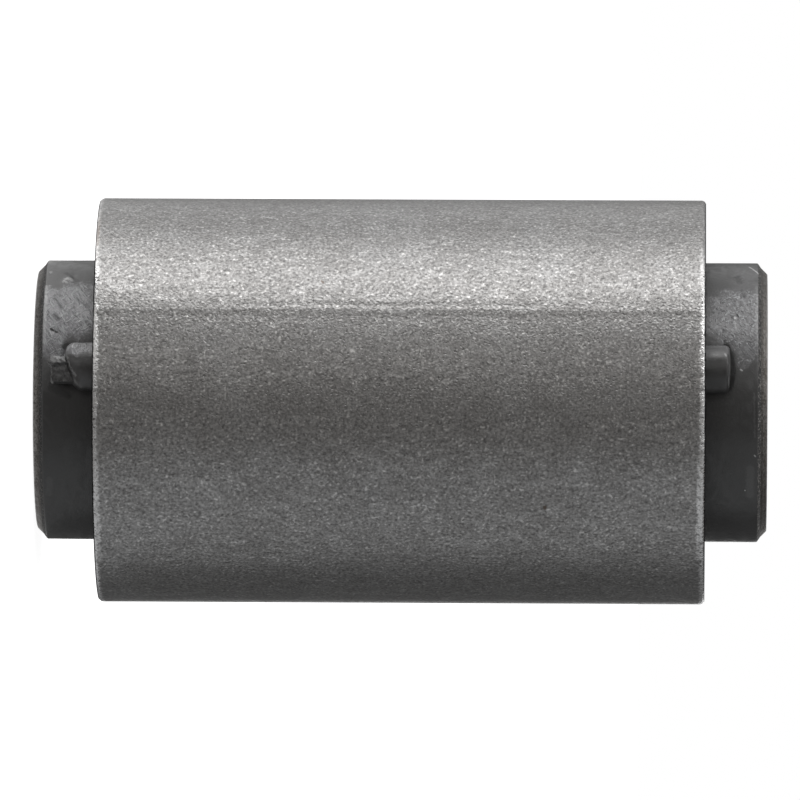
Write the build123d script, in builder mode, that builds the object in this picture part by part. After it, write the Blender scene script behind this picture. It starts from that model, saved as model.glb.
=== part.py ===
"""Rubber metal bush: two steel sleeves with one rubber moulding bonded between them.

The bush stands on the end of its inner sleeve. +Z runs along the bore, and the origin
is the centre of the lower end face. All sizes are in millimetres, all bearings are in
degrees about +Z from +X.
"""

import os
from math import cos, radians, sin, sqrt, tan

from build123d import *

os.makedirs("parts", exist_ok=True)

# ---- Outer sleeve: a length of welded steel tube, pressed into the eye of its host.
outer_diameter = 57.0
outer_wall = 2.0
outer_length = 85.4
outer_rim_radius = 0.6      # rounded outer edge of each rim
outer_mouth_chamfer = 0.5   # inner edge of each rim

# The trimmed weld runs the length of the sleeve. Its crest stays at the tube's own
# surface, and the scraper has left a shallow hollow on either side of it.
seam_bearing = 242.8
seam_crest_width = 0.2
seam_hollow_radius = 4.0
seam_hollow_depth = 0.06

# ---- Inner sleeve: a thick-walled steel tube, clamped by the bolt through it.
bolt_diameter = 24.0
bolt_clearance = 0.4        # on the diameter
inner_diameter = 38.0
inner_reach = 8.7           # how far it stands out past each end of the outer sleeve
inner_outer_chamfer = 0.9
inner_bore_chamfer = 0.8

# ---- Rubber body: fills the space between the sleeves and coats the inner sleeve.
skin_thickness = 0.7        # coat on the parts of the inner sleeve that stand out
skin_bevel_length = 0.45    # slope of the coat's edge, which ends at the steel chamfer
skin_edge_radius = 0.2
end_recess = 1.5            # where the rubber meets the sleeves, below the outer rim
end_flank_angle = 76.0      # slope of the hollow end face where it meets the sleeves

# One moulding nub on each end face, both at the same bearing.
nub_bearing = 258.5
nub_width = 6.8             # around the axis
nub_reach = 4.1             # how far it stands out past the outer sleeve
nub_side_gap = 0.25         # between the nub and the sleeves on either side of it
nub_corner_radius = 2.9
nub_tip_radius = 1.1
nub_anchor = 2.0            # how far its root runs into the rubber

# What is left of the torn gate, on the tip of the lower nub.
gate_width = 4.4            # around the axis
gate_depth = 2.6            # across the wall of rubber
gate_long_reach = 2.3       # how far it stands out past the nub, on the side torn last
gate_short_reach = 1.2      # the same, on the other side
gate_corner = 0.5
gate_pit_diameter = 1.0     # hollow left in the torn face
gate_pit_depth = 0.9
gate_pit_inset = 1.0        # from the long side of the gate

# A rounded edge takes no more than this share of the wall or corner that carries it.
largest_rounding = 0.9

# ---- Places worked out from the sizes above.
bore_radius = (bolt_diameter + bolt_clearance) / 2
inner_length = outer_length + 2 * inner_reach
outer_bottom = inner_reach
outer_top = inner_reach + outer_length

outer_radius = outer_diameter / 2
mouth_radius = outer_radius - outer_wall
inner_radius = inner_diameter / 2
inner_wall = inner_radius - bore_radius
skin_radius = inner_radius + skin_thickness

# Each hollow beside the weld is cut by a cylinder that reaches in from outside.
hollow_axis_radius = outer_radius + seam_hollow_radius - seam_hollow_depth
hollow_fit_radius = outer_radius * seam_hollow_radius / (outer_radius + seam_hollow_radius)
hollow_reach = sqrt(2 * seam_hollow_depth * hollow_fit_radius)
hollow_offset = hollow_reach + seam_crest_width / 2

# The skin ends where the steel chamfer starts, and its own edge slopes up from there.
skin_top = inner_length - inner_outer_chamfer
skin_bottom = inner_outer_chamfer
skin_edge = min(skin_edge_radius, largest_rounding * min(skin_thickness, skin_bevel_length))

# The hollow end face is an arc whose ends stand at the flank angle to its chord.
rubber_gap = mouth_radius - skin_radius
end_sagitta = rubber_gap / 2 * tan(radians(end_flank_angle / 2))
end_middle_radius = skin_radius + rubber_gap / 2
end_top = outer_top - end_recess
end_bottom = outer_bottom + end_recess

# The nub stands free on the hollow end face, halfway between the skin and the mouth.
nub_depth = rubber_gap - 2 * nub_side_gap
nub_centre_radius = end_middle_radius
nub_length = nub_reach + end_recess + end_sagitta + nub_anchor
nub_corner = min(nub_corner_radius, largest_rounding * min(nub_width, nub_depth) / 2)
nub_tip = min(nub_tip_radius, largest_rounding * nub_corner)

# The gate is drawn in the plane that faces away from the axis, at the nub's tip.
gate_end = outer_bottom - nub_reach - gate_long_reach
outward_x = cos(radians(nub_bearing))
outward_y = sin(radians(nub_bearing))
gate_plane = Plane(
    origin=(nub_centre_radius * outward_x, nub_centre_radius * outward_y, outer_bottom - nub_reach),
    x_dir=(-outward_y, outward_x, 0),
    z_dir=(outward_x, outward_y, 0),
)


# ---- Outer sleeve
with BuildPart() as outer_sleeve:
    # Section of the wall, turned about the axis of the bush.
    with BuildSketch(Plane.XZ):
        with Locations((mouth_radius, outer_bottom)):
            wall_section = Rectangle(outer_wall, outer_length, align=(Align.MIN, Align.MIN))
        wall_corners = wall_section.vertices().group_by(Axis.X)
        fillet(wall_corners[-1], outer_rim_radius)
        chamfer(wall_corners[0], outer_mouth_chamfer)
    revolve(axis=Axis.Z)

    # Two shallow hollows, one on each side of the weld's crest.
    seam_plane = Plane.XY.offset(outer_bottom).rotated((0, 0, seam_bearing))
    with BuildSketch(seam_plane):
        with Locations((hollow_axis_radius, hollow_offset), (hollow_axis_radius, -hollow_offset)):
            Circle(seam_hollow_radius)
    extrude(amount=outer_length, mode=Mode.SUBTRACT)

outer_sleeve.part.label = "outer_sleeve"
export_step(outer_sleeve.part, "parts/outer_sleeve.step")


# ---- Inner sleeve
with BuildPart() as inner_sleeve:
    with BuildSketch(Plane.XZ):
        with Locations((bore_radius, 0)):
            tube_section = Rectangle(inner_wall, inner_length, align=(Align.MIN, Align.MIN))
        tube_corners = tube_section.vertices().group_by(Axis.X)
        chamfer(tube_corners[-1], inner_outer_chamfer)
        chamfer(tube_corners[0], inner_bore_chamfer)
    revolve(axis=Axis.Z)

inner_sleeve.part.label = "inner_sleeve"
export_step(inner_sleeve.part, "parts/inner_sleeve.step")


# ---- Rubber body
with BuildPart() as rubber_body:
    with BuildSketch(Plane.XZ):
        with BuildLine():
            Line((mouth_radius, end_bottom), (mouth_radius, end_top))
            ThreePointArc(
                (mouth_radius, end_top),
                (end_middle_radius, end_top - end_sagitta),
                (skin_radius, end_top),
            )
            Polyline(
                (skin_radius, end_top),
                (skin_radius, skin_top - skin_bevel_length),
                (inner_radius, skin_top),
                (inner_radius, skin_bottom),
                (skin_radius, skin_bottom + skin_bevel_length),
                (skin_radius, end_bottom),
            )
            ThreePointArc(
                (skin_radius, end_bottom),
                (end_middle_radius, end_bottom + end_sagitta),
                (mouth_radius, end_bottom),
            )
        rubber_section = make_face()
        skin_corners = rubber_section.vertices().filter_by_position(Axis.X, skin_radius, skin_radius)
        skin_rims = skin_corners.sort_by(Axis.Y)
        fillet([skin_rims[0], skin_rims[-1]], skin_edge)
    revolve(axis=Axis.Z)

    # One nub on each end face, pointing out of the bush.
    for tip_height, outward in ((outer_top + nub_reach, 1), (outer_bottom - nub_reach, -1)):
        nub_plane = Plane.XY.offset(tip_height).rotated((0, 0, nub_bearing))
        with BuildSketch(nub_plane):
            with Locations((nub_centre_radius, 0)):
                RectangleRounded(nub_depth, nub_width, nub_corner)
        nub = extrude(amount=-outward * nub_length, mode=Mode.PRIVATE)
        tip_edges = nub.edges().group_by(Axis.Z)[-1 if outward > 0 else 0]
        add(nub.fillet(nub_tip, tip_edges))

    # The torn gate stands on the lower nub. It is longer on one side, where it tore last.
    with BuildSketch(gate_plane):
        with BuildLine():
            Polyline(
                (-gate_width / 2, nub_tip),
                (-gate_width / 2, -gate_long_reach),
                (gate_width / 2, -gate_short_reach),
                (gate_width / 2, nub_tip),
                close=True,
            )
        gate_section = make_face()
        torn_corners = gate_section.vertices().sort_by(Axis.Y)[0:2]
        fillet(torn_corners, gate_corner)
    extrude(amount=gate_depth / 2, both=True)
    with BuildSketch(Plane.XY.offset(gate_end).rotated((0, 0, nub_bearing))):
        with Locations((nub_centre_radius, gate_pit_inset - gate_width / 2)):
            Circle(gate_pit_diameter / 2)
    extrude(amount=gate_pit_depth, mode=Mode.SUBTRACT)

rubber_body.part.label = "rubber_body"
export_step(rubber_body.part, "parts/rubber_body.step")
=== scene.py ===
"""Looks of a rubber metal bush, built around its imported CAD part.

Two steel sleeves with one rubber moulding bonded between them. The bush stands on the
end of its inner sleeve: +Z runs along the bore and the floor is at z = 0. Sizes in the
classes are in millimetres, and bearings are in degrees about +Z from +X.
"""

import logging
from dataclasses import dataclass
from enum import Enum
from math import atan2, cos, degrees, exp, hypot, pi, radians, sin, tan
from typing import Any, Callable, Optional, Sequence, Union

import bmesh
import bpy
from mathutils import Matrix, Vector, noise


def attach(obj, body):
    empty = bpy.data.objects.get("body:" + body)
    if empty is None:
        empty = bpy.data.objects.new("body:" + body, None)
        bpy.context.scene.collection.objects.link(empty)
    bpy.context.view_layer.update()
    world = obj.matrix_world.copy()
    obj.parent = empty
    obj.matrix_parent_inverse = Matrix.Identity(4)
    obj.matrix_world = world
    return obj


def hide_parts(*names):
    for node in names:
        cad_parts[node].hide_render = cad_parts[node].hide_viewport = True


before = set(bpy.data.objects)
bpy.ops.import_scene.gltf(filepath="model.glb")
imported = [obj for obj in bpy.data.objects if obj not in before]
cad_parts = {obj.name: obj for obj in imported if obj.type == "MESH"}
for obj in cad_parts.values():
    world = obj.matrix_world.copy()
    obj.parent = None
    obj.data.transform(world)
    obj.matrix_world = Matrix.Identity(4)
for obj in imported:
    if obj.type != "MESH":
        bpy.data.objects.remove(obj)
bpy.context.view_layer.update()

MM = 0.001
ROOT = "root"
SHARP_CREASE = radians(32)
UP = Vector((0, 0, 1))
SLEEVE = 28.5
COAT = 19.7
ROW_FADE = 0.6
SPECK_LENGTH = 0.01

log = logging.getLogger("bush")

Socket = bpy.types.NodeSocket
Shape = bmesh.types.BMesh
Corner = bmesh.types.BMVert
Point = tuple[float, float]
Colour = tuple[float, float, float, float]
Value = Union["Signal", float]


def grey(level: float, warmth: float = 0.0) -> Colour:
    """Returns a grey colour, tinted towards red by a positive warmth and towards blue by a negative one."""
    return (level * (1 + warmth), level, level * (1 - warmth), 1.0)


def smooth_step(value: float, low: float, high: float) -> float:
    """Returns a value's place between two others, eased: 0 up to the low one and 1 from the high one."""
    share = min(max((value - low) / (high - low), 0.0), 1.0)
    return share * share * (3 - 2 * share)


def bell(value: float, centre: float = 0.0, reach: float = 1.0) -> float:
    """Returns 1 at the centre of a soft bump and almost 0 at twice its reach."""
    return exp(-(((value - centre) / reach) ** 2))


def lumps(x: float, y: float, z: float, size: float, layer: float = 0.0) -> float:
    """Returns a smooth random value from about -1 to 1, in lumps of a size; each layer is another field."""
    return noise.noise(Vector((x / size + layer, y / size - layer, z / size + 2 * layer)))


# ---- Places on the bush


@dataclass(frozen=True)
class Spot:
    """A place on a round surface: its radius and height in millimetres and its bearing."""

    radius: float
    bearing: float
    height: float

    def flat(self) -> Point:
        """Returns the place's x and y in millimetres."""
        turn = radians(self.bearing)
        return self.radius * cos(turn), self.radius * sin(turn)

    def vector(self) -> Vector:
        """Returns the place in millimetres."""
        return Vector((*self.flat(), self.height))

    def across(self, bearing: float) -> float:
        """Returns how far the place lies from a bearing, in millimetres around its surface."""
        return radians((self.bearing - bearing + 180) % 360 - 180) * self.radius


@dataclass(frozen=True)
class Mark:
    """A mark between two places, such as a scratch, a painted highlight or painted shade, or a small dot
    where they are close together.
    """

    start: Spot
    end: Spot
    width: float
    ragged: float
    strength: float


def marks(radius: float, *rows: tuple[float, ...]) -> tuple[Mark, ...]:
    """Lays marks on a round surface.

    Args:
        radius: radius of the surface.
        *rows: for each mark, the bearing and height of its start and of its end, its width, how far
            its edges wander and its strength. An eighth number splits it into that many marks, end to
            end around the surface, which fade towards both ends of the row.

    Returns:
        The marks, in order.
    """
    laid = []
    for bearing, height, last_bearing, last_height, width, ragged, strength, *split in rows:
        parts = split[0] if split else 1
        spots = []
        for number in range(parts + 1):
            share = number / parts
            around = bearing + share * (last_bearing - bearing)
            spots.append(Spot(radius, around, height + share * (last_height - height)))
        for number, (start, end) in enumerate(zip(spots, spots[1:])):
            fade = sin(pi * (number + 0.5) / parts) ** ROW_FADE
            laid.append(Mark(start, end, width, ragged, strength * fade))
    return tuple(laid)


# ---- Node trees


class Sheet:
    """Adds nodes to one node tree and joins them up."""

    def __init__(self, tree: bpy.types.NodeTree) -> None:
        """Starts on an empty tree."""
        self.tree = tree
        tree.nodes.clear()

    @classmethod
    def of(cls, owner: Union[bpy.types.Material, bpy.types.World]) -> "Sheet":
        """Returns the sheet of a new material or world."""
        owner.use_nodes = True
        return cls(owner.node_tree)

    def feed(self, target: Socket, value: Any) -> None:
        """Links a signal into an input, or sets the input to a constant.

        Args:
            target: the input.
            value: the signal or the constant.
        """
        if isinstance(value, Signal):
            self.tree.links.new(value.socket, target)
        else:
            target.default_value = value

    def add(self, kind: str, inputs: Optional[dict[Any, Any]] = None, **settings: Any) -> "Signal":
        """Adds a node, sets it up and feeds its inputs.

        Args:
            kind: the node's type, without the leading "ShaderNode".
            inputs: what each input gets, by name or number: a signal or a constant.
            **settings: the node's own properties.

        Returns:
            The node's first output.
        """
        node = self.tree.nodes.new("ShaderNode" + kind)
        for name, value in settings.items():
            setattr(node, name, value)
        for key, value in (inputs or {}).items():
            self.feed(node.inputs[key], value)
        return Signal(self, node.outputs[0])

    def put_out(self, kind: str, surface: "Signal") -> None:
        """Joins a shader to the output of a material or world."""
        output = self.tree.nodes.new("ShaderNodeOutput" + kind)
        self.feed(output.inputs["Surface"], surface)

    def math(self, kind: str, *values: Value, clamp: bool = False) -> "Signal":
        """Returns one step of arithmetic on values, kept between 0 and 1 if it is clamped."""
        return self.add("Math", dict(enumerate(values)), operation=kind, use_clamp=clamp)

    def vector(self, kind: str, *vectors: Any) -> "Signal":
        """Returns one step of arithmetic on vectors."""
        return self.add("VectorMath", dict(enumerate(vectors)), operation=kind)

    def scaled(self, vector: "Signal", scale: Value) -> "Signal":
        """Returns a vector or a colour, scaled."""
        return self.add("VectorMath", {0: vector, "Scale": scale}, operation="SCALE")

    def blend(self, share: Value, first: Any, second: Any) -> "Signal":
        """Returns a mixed colour; the share says how much of the second one shows, from 0 to 1."""
        return self.add("Mix", {0: share, 6: first, 7: second}, data_type="RGBA")[2]

    def end_gap(self, height: "Signal", low: Value, high: Value) -> "Signal":
        """Returns how far a height is from the nearer of two ends."""
        return self.math("MINIMUM", height - low, high - height)

    def lump_field(self, vector: "Signal", scale: Value, detail: float = 2.0, rough: float = 0.5) -> "Signal":
        """Reads a random field of soft lumps.

        Args:
            vector: the place, in millimetres.
            scale: how many lumps there are in a millimetre.
            detail: how many finer layers lie on the first one.
            rough: how strong the finer layers are.

        Returns:
            A value around 0.5.
        """
        inputs = {"Vector": vector, "Scale": scale, "Detail": detail, "Roughness": rough}
        return self.add("TexNoise", inputs)


@dataclass(frozen=True)
class Signal:
    """One output of a node, which takes plain arithmetic."""

    sheet: Sheet
    socket: Socket

    def __getitem__(self, key: Union[str, int]) -> "Signal":
        """Returns another output of the same node, by its name or number."""
        return Signal(self.sheet, self.socket.node.outputs[key])

    def __add__(self, other: Value) -> "Signal":
        """Returns the sum."""
        return self.sheet.math("ADD", self, other)

    def __sub__(self, other: Value) -> "Signal":
        """Returns the difference."""
        return self.sheet.math("SUBTRACT", self, other)

    def __rsub__(self, other: Value) -> "Signal":
        """Returns what is left of a number."""
        return self.sheet.math("SUBTRACT", other, self)

    def __mul__(self, other: Value) -> "Signal":
        """Returns the product."""
        return self.sheet.math("MULTIPLY", self, other)

    def __rmul__(self, other: Value) -> "Signal":
        """Returns the product with a number."""
        return self.sheet.math("MULTIPLY", other, self)

    def __truediv__(self, other: Value) -> "Signal":
        """Returns the quotient."""
        return self.sheet.math("DIVIDE", self, other)

    def ramp(self, low: Value, high: Value, start: Value = 0.0, end: Value = 1.0) -> "Signal":
        """Eases from one level to another while the signal goes from low to high.

        Args:
            low: where the result leaves its first level.
            high: where the result reaches its second level.
            start: the first level.
            end: the second level.

        Returns:
            The result.
        """
        limits = {"Value": self, "From Min": low, "From Max": high, "To Min": start, "To Max": end}
        return self.sheet.add("MapRange", limits, interpolation_type="SMOOTHSTEP")

    def fade(self, start: Value, end: Value) -> "Signal":
        """Returns the first level where the signal is 0, easing to the second where it is 1."""
        return self.ramp(0.0, 1.0, start, end)


# ---- Shared effects


class Shared(Enum):
    """The effects that several materials share, by the names of their node groups."""

    GRAIN = "grain"
    EDGE_WEAR = "edge_wear"
    SMEAR = "smear"
    STROKES = "strokes"
    MARK = "mark"


Effects = dict[Shared, bpy.types.NodeTree]


class EffectSheet(Sheet):
    """The node group of a shared effect, which reads a place in millimetres and puts out values."""

    def __init__(self, effect: Shared, **inputs: Any) -> None:
        """Makes the group and its inputs.

        Args:
            effect: which effect it is.
            **inputs: the default of each input after the place; a tuple is a vector.
        """
        super().__init__(bpy.data.node_groups.new(effect.value, "ShaderNodeTree"))
        for name, default in {"place": (0.0, 0.0, 0.0), **inputs}.items():
            kind = "NodeSocketVector" if isinstance(default, tuple) else "NodeSocketFloat"
            socket = self.tree.interface.new_socket(name.capitalize(), in_out="INPUT", socket_type=kind)
            socket.default_value = default
        self.given = Signal(self, self.tree.nodes.new("NodeGroupInput").outputs[0])

    def finished(self, **results: Signal) -> bpy.types.NodeTree:
        """Gives the group its outputs.

        Args:
            **results: what each output shows, by its name.

        Returns:
            The finished group.
        """
        for name in results:
            self.tree.interface.new_socket(name.capitalize(), in_out="OUTPUT", socket_type="NodeSocketFloat")
        outputs = self.tree.nodes.new("NodeGroupOutput").inputs
        for name, result in results.items():
            self.feed(outputs[name.capitalize()], result)
        return self.tree


def grain_effect() -> bpy.types.NodeTree:
    """Makes the grain that blasting, turning and moulding leave in a surface.

    Returns:
        A group with a height, a mask of pits, a mask of bright spots that serve as painted glints, and a
        mottled tone.
    """
    sheet = EffectSheet(Shared.GRAIN, stretch=(1.0, 1.0, 1.0), density=3.0, coarse=0.35, pitting=0.62)
    given, contrast = sheet.given, 12.0
    density, pitting = given["Density"], given["Pitting"]
    place = sheet.vector("MULTIPLY", given["Place"], given["Stretch"])
    fine = sheet.lump_field(place, density, 1.0)
    coarse = sheet.lump_field(place, density * 0.37, 2.0, 0.6)
    dents = sheet.lump_field(place, density * 0.86, 0.0)
    pits = sheet.math("MULTIPLY", dents - pitting, contrast, clamp=True)
    # bright spots that stand in for glints: painted glints
    flecks = sheet.math("MULTIPLY", 1.0 - pitting - dents, contrast, clamp=True)
    height = sheet.add("Mix", {0: given["Coarse"], 2: fine, 3: coarse}) - pits * 0.35
    tone = sheet.lump_field(place, density * 0.93, 1.0)
    return sheet.finished(height=height, pits=pits, flecks=flecks, tone=tone)


def edge_wear_effect() -> bpy.types.NodeTree:
    """Makes the wear on the two ends of a piece, broken up along the edge.

    Returns:
        A group with a mask of the worn places.
    """
    sheet = EffectSheet(Shared.EDGE_WEAR, low=0.0, high=100.0, width=0.6, ragged=0.5, density=2.5)
    given = sheet.given
    height = sheet.add("SeparateXYZ", {0: given["Place"]})["Z"]
    nearest = sheet.end_gap(height, given["Low"], given["High"])
    chips = sheet.lump_field(given["Place"], given["Density"], 3.0, 0.65)
    patches = sheet.lump_field(given["Place"], 0.16)
    swing = (chips + patches - 1.0) * given["Ragged"]
    return sheet.finished(mask=((nearest - swing * 4.0) / given["Width"]).ramp(1.0, 0.35))


def smear_effect() -> bpy.types.NodeTree:
    """Makes soft stains and smears, such as handling and oil leave.

    Returns:
        A group with a mask of the stained places.
    """
    sheet = EffectSheet(Shared.SMEAR, stretch=(1.0, 1.0, 1.0), density=0.2, swirl=2.0, start=0.48, end=0.66)
    given = sheet.given
    place = sheet.vector("MULTIPLY", given["Place"], given["Stretch"])
    field = sheet.lump_field(place, given["Density"], 5.0, 0.6)
    sheet.feed(field.socket.node.inputs["Distortion"], given["Swirl"])
    return sheet.finished(mask=field.ramp(given["Start"], given["End"]))


def stroke_effect() -> bpy.types.NodeTree:
    """Makes short rubbed strokes that all run one way round and along a round surface.

    Returns:
        A group with a mask of the strokes.
    """
    sheet = EffectSheet(Shared.STROKES, turn=0.0, density=1.5, slimness=0.25, start=0.54, end=0.64)
    given, coat_radius = sheet.given, 20.0
    parts = sheet.add("SeparateXYZ", {0: given["Place"]})
    around = sheet.math("ARCTAN2", parts["Y"], parts["X"]) * coat_radius
    flat = sheet.add("CombineXYZ", {"X": around, "Y": parts["Z"]})
    turned = sheet.add("VectorRotate", {"Vector": flat, "Angle": given["Turn"]}, rotation_type="Z_AXIS")
    slim = sheet.add("CombineXYZ", {"X": 1.0, "Y": given["Slimness"], "Z": 1.0})
    field = sheet.lump_field(sheet.vector("MULTIPLY", turned, slim), given["Density"])
    sheet.feed(field.socket.node.inputs["Distortion"], 0.35)
    return sheet.finished(mask=field.ramp(given["Start"], given["End"]))


def mark_effect() -> bpy.types.NodeTree:
    """Makes one mark, used for scratches and specks and for painted highlights and painted shade: the places
    near a straight line between two points.

    Returns:
        A group with a mask of the mark.
    """
    origin = (0.0, 0.0, 0.0)
    sheet = EffectSheet(Shared.MARK, start=origin, end=(0.0, 0.0, 1.0), width=0.2, ragged=0.3)
    given = sheet.given
    along = sheet.vector("SUBTRACT", given["End"], given["Start"])
    offset = sheet.vector("SUBTRACT", given["Place"], given["Start"])
    dots = [sheet.vector("DOT_PRODUCT", vector, along)["Value"] for vector in (offset, along)]
    foot = sheet.scaled(along, sheet.math("DIVIDE", *dots, clamp=True))
    distance = sheet.vector("LENGTH", sheet.vector("SUBTRACT", offset, foot))["Value"]
    chips = sheet.lump_field(given["Place"], 3.1, 2.0, 0.6) - 0.5
    return sheet.finished(mask=((distance + chips * given["Ragged"]) / given["Width"]).ramp(1.0, 0.4))


def shared_effects() -> Effects:
    """Returns the node groups of the shared effects, each built once."""
    groups = (grain_effect(), edge_wear_effect(), smear_effect(), stroke_effect(), mark_effect())
    return dict(zip(Shared, groups))


# ---- Finishes


class MaterialSheet(Sheet):
    """The node tree of one material, with its shader and the place in millimetres."""

    def __init__(self, name: str, effects: Effects) -> None:
        """Makes the material, its place and its shader.

        Args:
            name: the name of the material.
            effects: the shared effects.
        """
        self.material = bpy.data.materials.new(name)
        self.material.use_nodes = True
        super().__init__(self.material.node_tree)
        self.effects = effects
        self.place = self.scaled(self.add("TexCoord")["Object"], 1 / MM)
        self.parts = self.add("SeparateXYZ", {0: self.place})

    def shade(self, inputs: dict[str, Any]) -> None:
        """Gives the material its shader, with what each of the shader's inputs gets by its name."""
        self.put_out("Material", self.add("BsdfPrincipled", inputs))

    def effect(self, effect: Shared, **inputs: Any) -> Signal:
        """Places a shared effect.

        Args:
            effect: which effect it is.
            **inputs: what its inputs get, by their names in small letters.

        Returns:
            The effect's first output.
        """
        named = {name.capitalize(): value for name, value in {"place": self.place, **inputs}.items()}
        return self.add("Group", named, node_tree=self.effects[effect])

    def marked(self, laid: Sequence[Mark], place: Optional[Signal] = None) -> Value:
        """Puts several marks into one mask.

        Args:
            laid: the marks, in any order.
            place: the place to read, where it isn't the sheet's own.

        Returns:
            The strongest mark at each place, or 0 where there are no marks.
        """
        total: Value = 0.0
        for mark in laid:
            ends = {"start": mark.start.vector(), "end": mark.end.vector() + SPECK_LENGTH * UP}
            edge = {"width": mark.width, "ragged": mark.ragged, "place": place or self.place}
            total = self.math("MAXIMUM", total, self.effect(Shared.MARK, **ends, **edge) * mark.strength)
        return total

    def bump(self, height: Signal, distance: float, normal: Optional[Signal] = None) -> Signal:
        """Raises the surface by a height.

        Args:
            height: the height, as a share of the distance.
            distance: how far a full height rises, in millimetres.
            normal: the normal of a coarser bump below this one.

        Returns:
            The new normal.
        """
        coarser = {"Normal": normal} if normal else {}
        return self.add("Bump", {"Height": height, "Strength": 1.0, "Distance": distance * MM, **coarser})


class Finish:
    """A finish of the bush, which makes one material."""

    name: str
    tone: float
    warmth: float

    def material(self, effects: Effects) -> bpy.types.Material:
        """Makes the material.

        Args:
            effects: the shared effects.

        Returns:
            The finished material.
        """
        sheet = MaterialSheet(self.name, effects)
        self.dress(sheet)
        return sheet.material

    def tinted(self, share: float = 1.0, warmth_share: float = 1.0) -> Colour:
        """Returns the finish's own grey with a share of its tone and of its warmth."""
        return grey(self.tone * share, self.warmth * warmth_share)

    def dress(self, sheet: MaterialSheet) -> None:
        """Feeds the shader; each finish has its own way."""
        raise NotImplementedError


@dataclass(frozen=True)
class BlastedSteel(Finish):
    """Grey steel tube with the grain of shot blasting, worn bright at both rims; the rims also carry painted
    highlights and painted shade, and the grain painted glints.
    """

    name: str = "blasted_steel"
    tone: float = 0.235
    warmth: float = 0.016
    metallic: float = 0.92
    roughness: float = 0.33
    roughness_swing: float = 0.03
    grain_density: float = 3.1
    grain_stretch: float = 0.9
    grain_height: float = 0.08
    pit_level: float = 0.68
    pit_share: float = 0.5
    glint_fleck_share: float = 0.8
    tone_swing: float = 1.65
    low_rim: float = 8.7
    high_rim: float = 94.1
    lip: float = 0.28
    # the bright rim band is wear and a painted highlight; it fades out towards -X, the side of the key light
    wear_and_highlight_width: float = 0.92
    wear_and_highlight_tone: float = 0.62
    faded_side: float = -20.8
    highlit_rim_side: float = -15.2
    scratch_and_highlight_tone: float = 0.62
    speck_and_shade: Colour = (0.075, 0.052, 0.038, 1.0)
    bright_marks: tuple[Mark, ...] = ()
    dark_marks: tuple[Mark, ...] = ()

    def dress(self, sheet: MaterialSheet) -> None:
        """Feeds the shader with grain, stains, rims that are worn and painted as highlights, and marks that
        include painted highlights and painted shade.

        Args:
            sheet: the material's sheet.
        """
        stretch = (1.0, 1.0, self.grain_stretch)
        grain = sheet.effect(
            Shared.GRAIN, stretch=stretch, density=self.grain_density, coarse=0.3, pitting=self.pit_level
        )
        rims = {"low": self.low_rim, "high": self.high_rim}
        rubbed = sheet.effect(Shared.EDGE_WEAR, **rims, width=self.wear_and_highlight_width, ragged=0.30, density=1.3)
        stain = sheet.effect(Shared.SMEAR, density=0.055, swirl=1.2)
        haze = sheet.effect(Shared.SMEAR, stretch=(1.0, 1.0, 0.45), density=0.45, start=0.4, end=0.7)
        bright = sheet.marked(self.bright_marks) * grain["Tone"].ramp(0.40, 0.58, 0.25, 1.0)
        dark = sheet.marked(self.dark_marks)
        # the painted rim highlight and wear fade out towards -X, the side of the key light
        side = sheet.parts["X"].ramp(self.faded_side, self.highlit_rim_side, 0.1, 1.0)
        wear = rubbed * (sheet.end_gap(sheet.parts["Z"], **rims).ramp(0.0, self.lip, 0.3, 1.0) * side)

        tint = sheet.blend(stain, self.tinted(0.91), self.tinted(1.05, 0.4))
        mottled = sheet.blend(haze, tint, self.tinted(1.19, 0.6))
        mottle = grain["Tone"] * self.tone_swing + (1 - self.tone_swing / 2)
        # the bright spots lift the colour as painted glints
        toned = sheet.scaled(mottled, mottle + grain["Flecks"] * self.glint_fleck_share)
        pitted = sheet.blend(grain["Pits"] * self.pit_share, toned, self.tinted(0.4))
        # rims: wear and a painted highlight
        worn_and_highlit = sheet.blend(wear * (1.0 - grain["Pits"]), pitted, grey(self.wear_and_highlight_tone))
        # bright marks: scratches, and painted highlights along the rims
        scratched_and_highlit = sheet.blend(bright, worn_and_highlit, grey(self.scratch_and_highlight_tone))
        rough, smooth = self.roughness + self.roughness_swing, self.roughness - self.roughness_swing
        dinted = grain["Height"] * wear.fade(1.0, 3.0)
        sheet.shade({
            # dark marks: specks, and painted shade along the rims
            "Base Color": sheet.blend(dark, scratched_and_highlit, self.speck_and_shade),
            "Metallic": self.metallic,
            "Roughness": haze.fade(rough, smooth) - wear * 0.10,
            "Normal": sheet.bump(dinted, self.grain_height),
        })


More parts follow.
